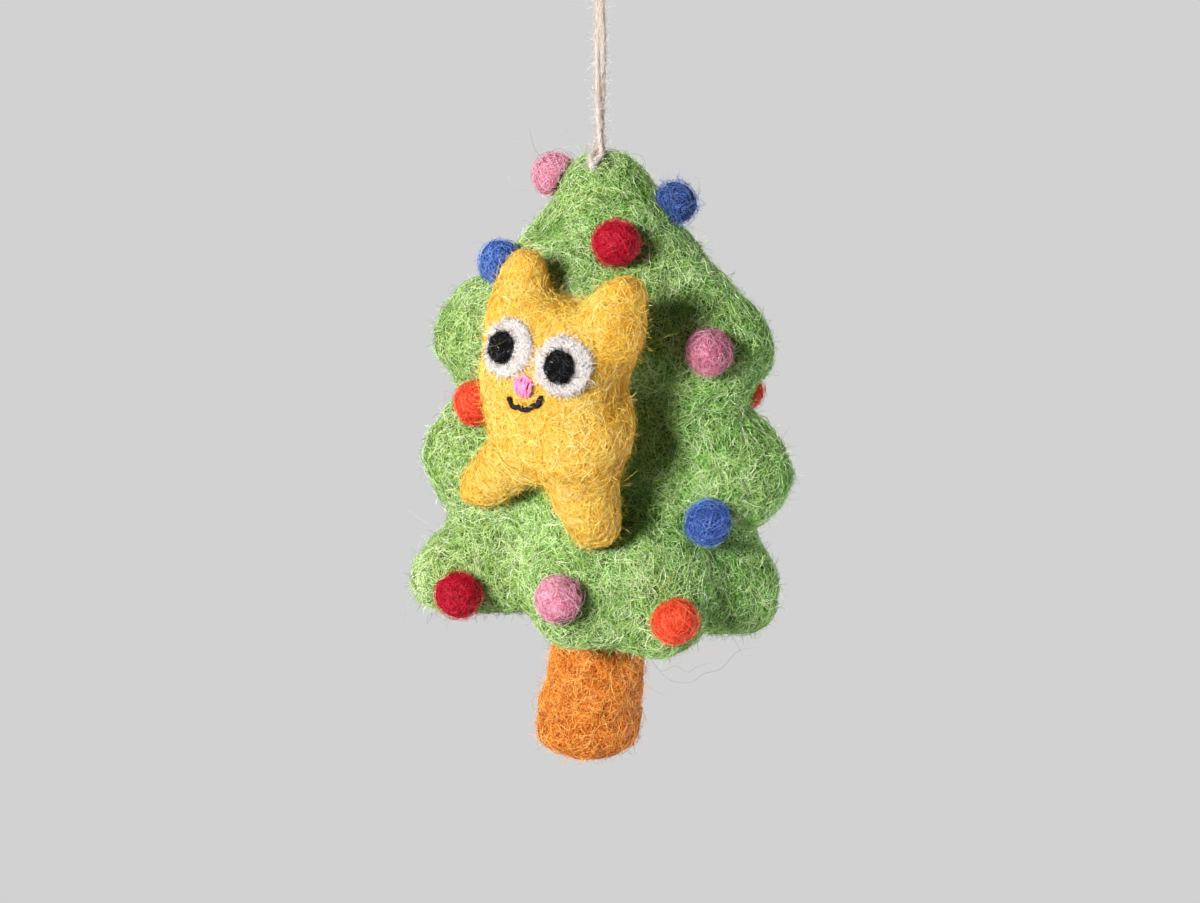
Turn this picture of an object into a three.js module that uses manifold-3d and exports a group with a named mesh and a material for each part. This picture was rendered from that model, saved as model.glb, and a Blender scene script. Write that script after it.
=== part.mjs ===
// A felt christmas tree to hang up, with a small felt cat hugging its front and felt balls as baubles.
// Sizes are in millimetres, +Z is up and -Y is the front. Left and right are the viewer's.
// The origin is the inside top of the hanging loop, where a hook or a twig carries it.
import * as THREE from "three";
import { mergeVertices } from "three/addons/utils/BufferGeometryUtils.js";
import Module from "manifold-3d";

const wasm = await Module();
wasm.setup();

const degree = Math.PI / 180;
const fullTurn = 2 * Math.PI;

// Clearance that pieces keep where they touch
const touch = 0.3;

// Hanging cord: two strands of one loop, laid round each other, and the eye that they form at the top
const cordDiameter = 1.2;
const strandLength = 50;
const strandHalfTurn = 33;
const eyeHeight = 12;
const eyeInsideRadius = 3.4;
const eyeArc = 250 * degree;
const eyeArcSpots = 8;
const cordSides = 8;
const cordStep = 3;

// The cord's knot at the tree's apex, and its anchor inside the felt
const knotRadius = 1.2;
const anchorDepth = 9;
const anchorKnotRadius = 2;
// The stitch that ties the knot down: bearings on the top tier and shares of the way to its underside
const stitchShares = [
  [-41, 0.12],
  [-29, 0.2],
  [-6, 0.11],
];

// How the tree hangs on its knot
const lean = 3 * degree;
const apexAside = 3.9;
const apexBehind = 2;

// Tiers: levels are depths below the apex, and a bough's reach is how far it stands out of the core.
// A bough's droop is how far it hangs below the rest of its tier.
// A tier's crook is how far its top leans to the left.
const topTier = {
  level: 39,
  rise: 39,
  fall: 12,
  crook: 2.6,
  coreWidth: 24,
  coreDepth: 20,
  boughs: [
    { bearing: -86, reach: 13.5, spread: 40, droop: 0 },
    { bearing: -12, reach: 4, spread: 36, droop: 0 },
    { bearing: 78, reach: 12, spread: 42, droop: 0 },
    { bearing: 172, reach: 10, spread: 48, droop: 0 },
  ],
};
const middleTier = {
  level: 64,
  rise: 18,
  fall: 14,
  crook: 0,
  coreWidth: 26,
  coreDepth: 19,
  boughs: [
    { bearing: -84, reach: 12.5, spread: 36, droop: 0 },
    { bearing: -14, reach: 6, spread: 34, droop: 0 },
    { bearing: 80, reach: 15, spread: 40, droop: 1 },
    { bearing: 142, reach: 11, spread: 36, droop: 0 },
    { bearing: -146, reach: 11, spread: 36, droop: 0 },
  ],
};
const bottomTier = {
  level: 91,
  rise: 20,
  fall: 4.5,
  crook: 0,
  coreWidth: 27,
  coreDepth: 20,
  boughs: [
    { bearing: -74, reach: 14.5, spread: 34, droop: 4.8 },
    { bearing: -15, reach: 7, spread: 37, droop: 11.2 },
    { bearing: 34, reach: 8.5, spread: 52, droop: 15.2 },
    { bearing: 90, reach: 12.6, spread: 32, droop: 11 },
    { bearing: 148, reach: 12, spread: 34, droop: 6 },
    { bearing: -146, reach: 12, spread: 34, droop: 4 },
  ],
};
const tierAround = 48;
const tierDown = 16;

// Shares of a tier's core radius, of its boughs' reach and of its height, from its top to its underside
const peakedShares = [
  [0, 0, 1],
  [0.16, 0, 0.985],
  [0.31, 0, 0.93],
  [0.5, 0, 0.74],
  [0.74, 0.15, 0.49],
  [0.89, 0.55, 0.28],
  [0.97, 0.88, 0.13],
  [1, 1, 0],
  [0.97, 0.98, -0.4],
  [0.88, 0.85, -0.8],
  [0.66, 0.55, -1],
  [0, 0, -1],
];
const skirtShares = [
  [0, 0, 1],
  [0.42, 0, 0.98],
  [0.74, 0.08, 0.88],
  [0.94, 0.42, 0.65],
  [1, 0.78, 0.35],
  [1, 1, 0],
  [0.98, 0.93, -0.45],
  [0.9, 0.72, -0.83],
  [0.68, 0.42, -1],
  [0, 0, -1],
];

// Trunk
const trunkRadius = 10.8;
const trunkBottom = 129;
const trunkTopAside = 2.1;
const trunkFootAside = -0.4;
const trunkAround = 32;
const trunkDown = 10;
// Shares of its radius and of its length, from where it enters the bottom tier to its foot
const trunkShares = [
  [0, 0, 0],
  [0.82, 0, 0.02],
  [0.86, 0, 0.3],
  [0.97, 0, 0.65],
  [0.99, 0, 0.86],
  [0.8, 0, 0.94],
  [0.42, 0, 0.98],
  [0, 0, 1],
];

// Baubles: each sits on a tier at a bearing and a share of the way from its top to its underside
const baubleRadius = 4.75;
const baubleStand = 2.4;
const baubleAround = 14;
const baubleDown = 9;
const baubleShares = [
  ["pink_bauble_by_the_apex", "top", -108, 0.235],
  ["blue_bauble_by_the_apex", "top", 77, 0.28],
  ["crimson_bauble_above_the_cat", "top", 3, 0.35],
  ["blue_bauble_behind_the_ear", "top", -71, 0.415],
  ["pink_bauble_on_the_right", "top", 52, 0.635],
  ["orange_bauble_in_the_left_notch", "middle", -68, 0.37],
  ["orange_bauble_in_the_right_notch", "middle", 94, 0.31],
  ["blue_bauble_on_the_right", "middle", 57, 0.73],
  ["crimson_bauble_low_left", "bottom", -59, 0.59],
  ["pink_bauble_low_front", "bottom", -15, 0.547],
  ["orange_bauble_low_right", "bottom", 32, 0.592],
  ["crimson_bauble_behind_left", "top", -128, 0.6],
  ["orange_bauble_behind_right", "bottom", 122, 0.6],
];

// Cat, its sizes before it is turned: width along X, depth along Y
const catWidth = 32.4;
const catDepth = 25;
const catTop = 18;
const catBottom = 19;
const catLeftward = 10.5;
const catLevel = 47;
const catStand = 7;
const catRoll = 10.5 * degree;
const catYaw = -28 * degree;
const catRoundShare = 0.77;
const bellyAside = 4.4;
const catAround = 32;
const catDown = 14;
// Shares of its half width, of its half depth and of its height, from the crown to the belly
const catShares = [
  [0, 0, 1],
  [0.5, 0.45, 0.985],
  [0.85, 0.8, 0.86],
  [0.98, 0.97, 0.55],
  [0.97, 1, 0.2],
  [1, 0.96, -0.15],
  [0.95, 0.9, -0.5],
  [0.8, 0.76, -0.8],
  [0.45, 0.42, -0.97],
  [0, 0, -1],
];

// Ears and legs: tapered rolls with round ends, that splay sideways and sweep back towards the tree
const limbAround = 16;
const limbDown = 10;
const leftEar = {
  length: 16.2,
  radius: 7.2,
  tip: 3.8,
  aside: -10,
  root: 10,
  forward: 2,
  splay: -6 * degree,
  sweep: 0,
};
const rightEar = {
  length: 15.2,
  radius: 7.8,
  tip: 4.2,
  aside: 9.6,
  root: 11.6,
  forward: 1.6,
  splay: 14 * degree,
  sweep: 0,
};
const leftLeg = {
  length: 24,
  radius: 6.4,
  tip: 4.6,
  aside: -2.2,
  root: -12.4,
  forward: 0,
  splay: 220 * degree,
  sweep: 20 * degree,
};
const rightLeg = {
  length: 22.6,
  radius: 8.2,
  tip: 5,
  aside: 9.8,
  root: -9.3,
  forward: 1,
  splay: 169 * degree,
  sweep: 18 * degree,
};
// Shares of a limb's root radius, of its tip radius and of its length, from its root to its tip
const limbShares = [
  [0, 0, 0],
  [0.9, 0, 0.02],
  [1, 0, 0.2],
  [0.6, 0.4, 0.5],
  [0.15, 0.85, 0.8],
  [0, 0.8, 0.93],
  [0, 0.45, 0.99],
  [0, 0, 1],
];

// Face
const eyeDiameter = 12;
const eyeSpacing = 13;
const eyeLevel = 7.6;
const eyeTurn = 18 * degree;
const eyeThickness = 0.9;
const pupilWidth = 6.4;
const pupilHeight = 6.7;
const gazeAside = -0.5;
const pupilThickness = 0.8;
const noseWidth = 3.7;
const noseHeight = 4.3;
const noseDepth = 3;
const noseAside = -0.8;
const noseLevel = 1.2;
const mouthWidth = 7.2;
const mouthDrop = 2.2;
const mouthLevel = -1;
const mouthRise = 1.6;
const mouthThickness = 0.9;
const mouthSpots = 9;
const roundSides = 28;

const wool = { metalness: 0, roughness: 1 };
const materials = {
  green: new THREE.MeshStandardMaterial({ color: 0x7fb765, ...wool }),
  brown: new THREE.MeshStandardMaterial({ color: 0xc9803a, ...wool }),
  yellow: new THREE.MeshStandardMaterial({ color: 0xefbe4a, ...wool }),
  white: new THREE.MeshStandardMaterial({ color: 0xe6e4e2, ...wool }),
  black: new THREE.MeshStandardMaterial({ color: 0x24252a, ...wool }),
  pink: new THREE.MeshStandardMaterial({ color: 0xd67aa6, ...wool }),
  crimson: new THREE.MeshStandardMaterial({ color: 0xbf1738, ...wool }),
  orange: new THREE.MeshStandardMaterial({ color: 0xe64a22, ...wool }),
  blue: new THREE.MeshStandardMaterial({ color: 0x3b5fb0, ...wool }),
  cream: new THREE.MeshStandardMaterial({ color: 0xeee6da, ...wool }),
};

// A closed body from rings of points between two poles, where spot(turn, share) gives each point
function ringedBody(spot, around, down) {
  const points = [spot(0, 0)];
  for (let i = 1; i < down; i++)
    for (let j = 0; j < around; j++) points.push(spot((fullTurn * j) / around, i / down));
  points.push(spot(0, 1));
  const last = points.length - 1;
  const at = (i, j) => 1 + (i - 1) * around + (j % around);
  const faces = [];
  for (let j = 0; j < around; j++) {
    faces.push(0, at(1, j), at(1, j + 1));
    faces.push(last, at(down - 1, j + 1), at(down - 1, j));
    for (let i = 1; i < down - 1; i++) {
      faces.push(at(i, j), at(i + 1, j), at(i + 1, j + 1));
      faces.push(at(i, j), at(i + 1, j + 1), at(i, j + 1));
    }
  }
  return new THREE.BufferGeometry().setFromPoints(points).setIndex(faces);
}

// The same geometry with only its points, where each shared corner is one point
function welded(geometry) {
  const bare = geometry.clone();
  bare.deleteAttribute("normal");
  bare.deleteAttribute("uv");
  return mergeVertices(bare);
}

// The same body with its skin moved out by a distance
function swollen(geometry, distance) {
  const skin = welded(geometry);
  skin.computeVertexNormals();
  const { position, normal } = skin.attributes;
  const point = new THREE.Vector3();
  const way = new THREE.Vector3();
  for (let i = 0; i < position.count; i++) {
    way.fromBufferAttribute(normal, i);
    point.fromBufferAttribute(position, i).addScaledVector(way, distance);
    position.setXYZ(i, ...point);
  }
  return skin;
}

function solidOf(geometry) {
  const skin = welded(geometry);
  const mesh = new wasm.Mesh({
    numProp: 3,
    vertProperties: Float32Array.from(skin.attributes.position.array),
    triVerts: Uint32Array.from(skin.index.array),
  });
  return new wasm.Manifold(mesh);
}

function geometryOf(solid) {
  const { vertProperties, triVerts } = solid.getMesh();
  const geometry = new THREE.BufferGeometry();
  geometry.setAttribute("position", new THREE.BufferAttribute(vertProperties, 3));
  geometry.setIndex(new THREE.BufferAttribute(triVerts, 1));
  geometry.computeVertexNormals();
  return geometry;
}

// What is left of a piece once the larger ones that it sits against are cut away
function cutBy(geometry, tools) {
  let solid = solidOf(geometry);
  for (const tool of tools) solid = solid.subtract(solidOf(tool));
  return geometryOf(solid);
}

function inFrameOf(geometry, matrix) {
  return geometry.clone().applyMatrix4(matrix.clone().invert());
}

function meshOf(name, geometry, material) {
  const mesh = new THREE.Mesh(geometry, material);
  mesh.name = name;
  return mesh;
}

// Where a line first meets the skin of one of several bodies
function firstHit(geometries, from, way) {
  const probes = geometries.map((geometry) => new THREE.Mesh(geometry));
  return new THREE.Raycaster(from, way).intersectObjects(probes)[0].point;
}

function smoothCurve(rows) {
  return new THREE.CatmullRomCurve3(rows.map((row) => new THREE.Vector3(...row)));
}

// A round cord along a path, square at both ends
function cordAlong(path, diameter) {
  const ring = [];
  for (let i = 0; i < cordSides; i++) {
    const turn = (fullTurn * i) / cordSides;
    ring.push(new THREE.Vector2(Math.cos(turn), Math.sin(turn)).multiplyScalar(diameter / 2));
  }
  const steps = Math.ceil(path.getLength() / (cordStep * diameter));
  return new THREE.ExtrudeGeometry(new THREE.Shape(ring), { steps, extrudePath: path });
}

const down = new THREE.Vector3(0, 0, -1);
const backwards = new THREE.Vector3(0, 1, 0);

// One tier of the tree: a core with boughs round it, in the frame of the tree's apex
function tierSpot(tier, profile, bearing, share) {
  const { x: core, y: bough, z: height } = profile.getPoint(share);
  const { coreWidth: width, coreDepth: depth } = tier;
  const oval = (width * depth) / Math.hypot(depth * Math.sin(bearing), width * Math.cos(bearing));
  let reach = 0;
  let droop = 0;
  for (const one of tier.boughs) {
    const turn = Math.abs(bearing - one.bearing * degree) % fullTurn;
    const away = Math.min(turn, fullTurn - turn) / (one.spread * degree);
    const near = away < 1 ? Math.cos((away * Math.PI) / 2) ** 2 : 0;
    reach += one.reach * near;
    droop += one.droop * near;
  }
  const radius = core * oval + bough * reach;
  const aside = -tier.crook * Math.max(height, 0) ** 2;
  const z = height * (height > 0 ? tier.rise : tier.fall + bough * droop) - tier.level;
  return new THREE.Vector3(radius * Math.sin(bearing) + aside, -radius * Math.cos(bearing), z);
}

const peaked = smoothCurve(peakedShares);
const skirt = smoothCurve(skirtShares);
const tiers = {
  top: { sizes: topTier, profile: peaked },
  middle: { sizes: middleTier, profile: skirt },
  bottom: { sizes: bottomTier, profile: skirt },
};
for (const tier of Object.values(tiers)) {
  tier.spot = (bearing, share) => tierSpot(tier.sizes, tier.profile, bearing, share);
  tier.skin = ringedBody(tier.spot, tierAround, tierDown);
  tier.cutter = swollen(tier.skin, touch);
}
const treeSkins = Object.values(tiers).map((tier) => tier.skin);
const treeCutters = Object.values(tiers).map((tier) => tier.cutter);

// A point off a tier's skin, by a distance along the skin's outward normal
function offTier(tierName, bearing, share, distance) {
  const { spot } = tiers[tierName];
  const step = 1 / tierDown;
  const turn = bearing * degree;
  const seat = spot(turn, share);
  const across = spot(turn + step, share).sub(spot(turn - step, share));
  const along = spot(turn, share + step).sub(spot(turn, share - step));
  return seat.addScaledVector(along.cross(across).normalize(), distance);
}

// The tree's frame has its origin at the apex, set so that the knot rests on the felt
const tree = new THREE.Group();
const besideApex = new THREE.Vector3(-apexAside, -apexBehind, knotRadius);
const underKnot = firstHit(treeSkins, besideApex, down);
tree.position.set(apexAside, apexBehind, -knotRadius - touch - underKnot.z);

// The stitch lies on the felt in a V, and the anchor runs in from its tip to a knot in a pocket
const cordOut = cordDiameter / 2 + touch;
const stitchSpots = stitchShares.map(([bearing, share]) => offTier("top", bearing, share, cordOut));
const [, [tipBearing, tipShare]] = stitchShares;
const inTier = (depth) => offTier("top", tipBearing, tipShare, -depth);
const anchorPath = new THREE.LineCurve3(inTier(0), inTier(anchorDepth));
const channelPath = new THREE.LineCurve3(inTier(-cordOut), inTier(anchorDepth + cordOut));
const anchorKnotSpot = inTier(anchorDepth + touch + anchorKnotRadius);
function ball(radius, around, down) {
  const spot = (turn, share) => new THREE.Vector3().setFromSphericalCoords(radius, Math.PI * share, turn);
  return ringedBody(spot, around, down);
}
const pocket = ball(anchorKnotRadius + touch, baubleAround, baubleDown).translate(...anchorKnotSpot);
const channel = cordAlong(channelPath, cordDiameter + touch + touch);
const anchorKnot = meshOf("anchor_knot", ball(anchorKnotRadius, baubleAround, baubleDown), materials.cream);
anchorKnot.position.copy(anchorKnotSpot);
tree.add(
  meshOf("apex_stitch", cordAlong(new THREE.CatmullRomCurve3(stitchSpots), cordDiameter), materials.cream),
  meshOf("anchor_cord", cordAlong(anchorPath, cordDiameter), materials.cream),
  anchorKnot,
);

// Tiers, each upper one cut by the one below that it sits on
const { top, middle, bottom } = tiers;
tree.add(
  meshOf("tree_top_tier", cutBy(top.skin, [middle.cutter, channel, pocket]), materials.green),
  meshOf("tree_middle_tier", cutBy(middle.skin, [bottom.cutter]), materials.green),
  meshOf("tree_bottom_tier", bottom.skin, materials.green),
);

// The trunk, a roll of wool with a round foot
const trunkProfile = smoothCurve(trunkShares);
const trunkSkin = ringedBody(
  (turn, share) => {
    const { x: radius, z: along } = trunkProfile.getPoint(share);
    const out = radius * trunkRadius;
    const aside = trunkTopAside + along * (trunkFootAside - trunkTopAside);
    const z = -bottomTier.level - along * (trunkBottom - bottomTier.level);
    return new THREE.Vector3(out * Math.sin(turn) + aside, -out * Math.cos(turn), z);
  },
  trunkAround,
  trunkDown,
);
tree.add(meshOf("trunk", cutBy(trunkSkin, [bottom.cutter]), materials.brown));

// Baubles, each hollowed where it sits on the felt
const bauble = ball(baubleRadius, baubleAround, baubleDown);
for (const [name, tierName, bearing, share] of baubleShares) {
  const centre = offTier(tierName, bearing, share, baubleStand);
  const place = new THREE.Matrix4().setPosition(centre);
  const cutters = treeCutters.map((cutter) => inFrameOf(cutter, place));
  const mesh = meshOf(name, cutBy(bauble, cutters), materials[name.split("_")[0]]);
  mesh.position.copy(centre);
  tree.add(mesh);
}

// The cat's frame: its middle stands off the tree's front, and its face is rolled and turned to the left
const cat = new THREE.Group();
const beforeTree = new THREE.Vector3(-catLeftward, -catWidth - bottomTier.coreWidth, -catLevel);
cat.position.copy(firstHit(treeSkins, beforeTree, backwards));
cat.position.y -= catStand;
cat.rotation.set(0, catRoll, catYaw, "ZYX");
cat.updateMatrix();
const behindCat = treeCutters.map((cutter) => inFrameOf(cutter, cat.matrix));

const catProfile = smoothCurve(catShares);
const catSkin = ringedBody(
  (turn, share) => {
    const { x: side, y: front, z: height } = catProfile.getPoint(share);
    const bulge = (value) => Math.sign(value) * Math.abs(value) ** catRoundShare;
    const aside = bellyAside * Math.sqrt(Math.max(-height, 0));
    const x = (side * bulge(Math.sin(turn)) * catWidth) / 2 + aside;
    const y = (-front * bulge(Math.cos(turn)) * catDepth) / 2;
    return new THREE.Vector3(x, y, height * (height > 0 ? catTop : catBottom));
  },
  catAround,
  catDown,
);
const catCutter = swollen(catSkin, touch);
cat.add(meshOf("cat_body", cutBy(catSkin, behindCat), materials.yellow));

// A limb starts at its root in the cat's frame. Its splay is clockwise from straight up.
const limbProfile = smoothCurve(limbShares);
function limbSkin({ length, radius, tip, aside, root, forward, splay, sweep }) {
  const skin = ringedBody(
    (turn, share) => {
      const { x: rootShare, y: tipShare, z: along } = limbProfile.getPoint(share);
      const out = rootShare * radius + tipShare * tip;
      return new THREE.Vector3(out * Math.sin(turn), out * Math.cos(turn), along * length);
    },
    limbAround,
    limbDown,
  );
  skin.rotateY(splay).rotateX(sweep);
  return skin.translate(aside, -forward, root);
}
const limbs = {
  cat_left_ear: leftEar,
  cat_right_ear: rightEar,
  cat_left_leg: leftLeg,
  cat_right_leg: rightLeg,
};
for (const [name, sizes] of Object.entries(limbs)) {
  const skin = limbSkin(sizes);
  cat.add(meshOf(name, cutBy(skin, [catCutter, ...behindCat]), materials.yellow));
}

// A round patch of felt that follows the cat's face between two depths
function facePatch(width, height, aside, turn, inner, outer) {
  const oval = new THREE.Shape();
  oval.absellipse(0, 0, width / 2, height / 2, 0, fullTurn);
  const rod = new THREE.ExtrudeGeometry(oval, {
    depth: catDepth,
    bevelEnabled: false,
    curveSegments: roundSides / 2,
  });
  rod.rotateX(Math.PI / 2).rotateZ(turn).translate(aside, 0, eyeLevel);
  const shell = solidOf(swollen(catSkin, outer)).subtract(solidOf(swollen(catSkin, inner)));
  return geometryOf(shell.intersect(solidOf(rod)));
}
const onWhite = touch + eyeThickness + touch;
for (const [name, side] of [["left", -1], ["right", 1]]) {
  const turn = side * eyeTurn;
  const aside = (side * eyeSpacing) / 2 - Math.sin(turn) * (catDepth / 2);
  const pupilAside = aside + gazeAside;
  const eye = facePatch(eyeDiameter, eyeDiameter, aside, turn, touch, touch + eyeThickness);
  const pupil = facePatch(pupilWidth, pupilHeight, pupilAside, turn, onWhite, onWhite + pupilThickness);
  cat.add(
    meshOf(`cat_${name}_eye_white`, eye, materials.white),
    meshOf(`cat_${name}_pupil`, pupil, materials.black),
  );
}

// Nose and mouth
const beforeFace = (aside, level) => new THREE.Vector3(aside, -catDepth, level);
const noseSpot = firstHit([catSkin], beforeFace(noseAside, noseLevel), backwards);
const nose = ball(1, limbAround, limbDown);
nose.scale(noseWidth / 2, noseDepth / 2, noseHeight / 2).translate(...noseSpot);
const mouthLine = [];
for (let i = 0; i < mouthSpots; i++) {
  const turn = (Math.PI * i) / (mouthSpots - 1);
  const along = -Math.cos(turn) / 2;
  const level = mouthLevel + along * mouthRise - mouthDrop * Math.sin(turn);
  const spot = firstHit([catSkin], beforeFace(along * mouthWidth, level), backwards);
  spot.y -= mouthThickness / 2 + touch;
  mouthLine.push(spot);
}
const mouth = cordAlong(new THREE.CatmullRomCurve3(mouthLine), mouthThickness);
cat.add(
  meshOf("cat_nose", cutBy(nose, [catCutter]), materials.pink),
  meshOf("cat_mouth", cutBy(mouth, [catCutter]), materials.black),
);
tree.add(cat);

// The cord's knot, and the two strands that rise from it, laid round each other
const knotLevel = eyeHeight + touch + strandLength + touch + knotRadius;
const knot = meshOf("cord_knot", ball(knotRadius, cordSides, cordSides), materials.cream);
knot.position.z = -knotLevel;
function strand(side) {
  const spots = [];
  const count = Math.ceil(strandLength / (cordStep * cordDiameter));
  for (let i = 0; i <= count; i++) {
    const fallen = (strandLength * i) / count;
    const turn = (Math.PI * fallen) / strandHalfTurn;
    const out = (side * (cordDiameter + touch)) / 2;
    spots.push(new THREE.Vector3(out * Math.cos(turn), out * Math.sin(turn), -eyeHeight - touch - fallen));
  }
  return cordAlong(new THREE.CatmullRomCurve3(spots), cordDiameter);
}

// The eye that the cord makes round its hook
const eyeRadius = eyeInsideRadius + cordDiameter / 2;
const eyeSpots = [];
const neck = (side, level) => new THREE.Vector3((side * (cordDiameter + touch)) / 2, 0, level);
eyeSpots.push(neck(-1, -eyeHeight), neck(-1, cordDiameter - eyeHeight));
for (let i = 0; i <= eyeArcSpots; i++) {
  const turn = eyeArc * (0.5 - i / eyeArcSpots);
  const level = eyeRadius * Math.cos(turn) - eyeInsideRadius;
  eyeSpots.push(new THREE.Vector3(-eyeRadius * Math.sin(turn), 0, level));
}
eyeSpots.push(neck(1, cordDiameter - eyeHeight), neck(1, -eyeHeight));
const eyeOfCord = cordAlong(new THREE.CatmullRomCurve3(eyeSpots), cordDiameter);

// The ornament hangs from the knot, leaning a little
const ornament = new THREE.Group();
ornament.position.z = -knotLevel;
ornament.rotation.y = lean;
ornament.add(tree);

const whole = new THREE.Group();
whole.add(
  meshOf("hanging_eye", eyeOfCord, materials.cream),
  meshOf("cord_strand_left", strand(-1), materials.cream),
  meshOf("cord_strand_right", strand(1), materials.cream),
  knot,
  ornament,
);

export default whole;
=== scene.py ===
"""A felt christmas tree with a small felt cat, hung on a doubled cord, dressed in wool and yarn."""
import math

import bpy
import numpy as np
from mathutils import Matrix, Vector, noise
from mathutils.bvhtree import BVHTree


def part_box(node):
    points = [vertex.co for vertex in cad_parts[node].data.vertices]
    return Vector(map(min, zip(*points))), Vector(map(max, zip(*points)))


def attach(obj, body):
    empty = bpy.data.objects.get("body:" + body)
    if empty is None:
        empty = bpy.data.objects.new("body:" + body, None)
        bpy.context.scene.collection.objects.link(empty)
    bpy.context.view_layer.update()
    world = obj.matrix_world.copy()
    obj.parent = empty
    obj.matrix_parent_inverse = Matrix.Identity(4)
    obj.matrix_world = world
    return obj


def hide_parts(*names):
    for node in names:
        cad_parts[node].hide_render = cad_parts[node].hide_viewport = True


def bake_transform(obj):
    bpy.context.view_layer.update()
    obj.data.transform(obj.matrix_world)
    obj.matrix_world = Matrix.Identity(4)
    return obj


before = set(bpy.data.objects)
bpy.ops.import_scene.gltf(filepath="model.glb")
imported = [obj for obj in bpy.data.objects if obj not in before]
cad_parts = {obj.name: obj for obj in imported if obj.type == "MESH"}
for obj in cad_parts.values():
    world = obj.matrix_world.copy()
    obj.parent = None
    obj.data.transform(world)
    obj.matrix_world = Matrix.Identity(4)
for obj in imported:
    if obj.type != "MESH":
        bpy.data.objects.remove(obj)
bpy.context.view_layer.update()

mm = 0.001
scene = bpy.context.scene

# Camera: it looks down a little at the middle of the picture
camera_distance = 900 * mm
camera_elevation = math.radians(8)
view_centre = Vector((0, 0, -128 * mm))
lens = 128
sensor = 36

# Cord
strand_spread = 0.58 * mm
strand_top = -12.3 * mm
strand_length = 50 * mm
strand_half_turn = 33 * mm
strand_steps = 14
knot_centre = np.array((0, 0, -63.8 * mm))
knot_radius = 0.85 * mm
knot_lobe_share = 0.6
eye_radius = 4 * mm
eye_centre = -3.4 * mm
eye_arc = math.radians(250)
eye_steps = 12
cord_step = 0.4 * mm
ply_count = 3
ply_sides = 8
ply_pitch = 5.4 * mm
ply_offset = 0.23 * mm
ply_radius = 0.33 * mm
anchor_knot_centre = np.array((1.2 * mm, 4.8 * mm, -74.6 * mm))
anchor_knot_radius = 1.5 * mm
anchor_lobe_share = 0.62
stitch_rows = np.array([
    (-0.4, -0.5, -64.1),
    (-1.25, -1.6, -64.8),
    (-1.8, -2.8, -65.9),
    (-1.75, -3.95, -67.5),
    (-1.05, -3.55, -66.8),
    (-0.25, -2.8, -65.9),
    (0.35, -1.9, -65),
    (0.2, -0.5, -64.1),
]) * mm
anchor_rows = np.array([
    (-1.6, -3.7, -67.8),
    (-0.6, -1, -70),
    (0.5, 2.2, -72.4),
    (1.1, 4.4, -74.2),
]) * mm

# How thick each short run of the cord's yarn is beside the cord itself
apex_knot_share = 0.7
stitch_share = 1.3
anchor_share = 1.0
anchor_knot_share = 1.2

# Hairs on the yarn: how many wind along it and how many stand off it, and their form
cord_hairs = (10400, 2900)
short_hairs = (500, 220)
hair_spots = 9
hair_turn = (0.6, 0.9)
hair_spread = (0.42 * mm, 0.66 * mm)
hair_ripple = 0.06 * mm
hair_ripple_start = (0, 6)
hair_ripple_run = (4, 14)
hair_lift = 0.26 * mm
hair_radius = (0.018 * mm, 0.04 * mm)
loose_hair = {
    "slope": (0.1, 1.2),
    "length": (1 * mm, 3.2 * mm),
    "bend": 0.3,
    "spots": hair_spots,
}

# The cat's own frame: its right, its back and its up
cat_right = np.array((0.8574, -0.4616, -0.2274))
cat_back = np.array((0.4688, 0.8829, -0.0246))
cat_up = np.array((0.2121, -0.0856, 0.9735))

seeds = np.random.SeedSequence(20)


def next_rng():
    """A source of random draws of its own for each piece."""
    return np.random.default_rng(seeds.spawn(1)[0])


def linear(*levels):
    """A colour written in screen levels from 0 to 255, as the shader takes it."""
    steps = [level / 255 for level in levels]
    return (*[s / 12.92 if s <= 0.04045 else ((s + 0.055) / 1.055) ** 2.4 for s in steps], 1)


# Camera
camera = bpy.data.objects.new("camera", bpy.data.cameras.new("camera"))
scene.collection.objects.link(camera)
camera.data.lens = lens
camera.data.sensor_width = sensor
back = Vector((0, -math.cos(camera_elevation), math.sin(camera_elevation)))
camera.location = view_centre + back * camera_distance
camera.rotation_euler = back.to_track_quat("Z", "Y").to_euler()
scene.camera = camera

# Meshes, curves and yarn
tiny = 1e-12
curve_steps = 24
oblique_way = (0.3, 0.9, 0.2)
knot_spots = 60
knot_swell_share = 0.5
knot_height_share = 0.7


def unit(rows):
    """The same vectors at length one."""
    return rows / np.maximum(np.linalg.norm(rows, axis=-1, keepdims=True), tiny)


def new_mesh(name, points, triangles, slots=None, materials=()):
    """An object of triangles, with a material slot number for each triangle."""
    mesh = bpy.data.meshes.new(name)
    triangles = np.asarray(triangles, np.int32)
    mesh.vertices.add(len(points))
    mesh.vertices.foreach_set("co", np.asarray(points, np.float32).ravel())
    mesh.loops.add(triangles.size)
    mesh.loops.foreach_set("vertex_index", triangles.ravel())
    mesh.polygons.add(len(triangles))
    mesh.polygons.foreach_set("loop_start", np.arange(0, triangles.size, 3, dtype=np.int32))
    if slots is not None:
        mesh.polygons.foreach_set("material_index", np.asarray(slots, np.int32))
    mesh.update(calc_edges=True)
    mesh.validate()
    mesh.shade_smooth()
    for material in materials:
        mesh.materials.append(material)
    piece = bpy.data.objects.new(name, mesh)
    scene.collection.objects.link(piece)
    return piece


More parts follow.
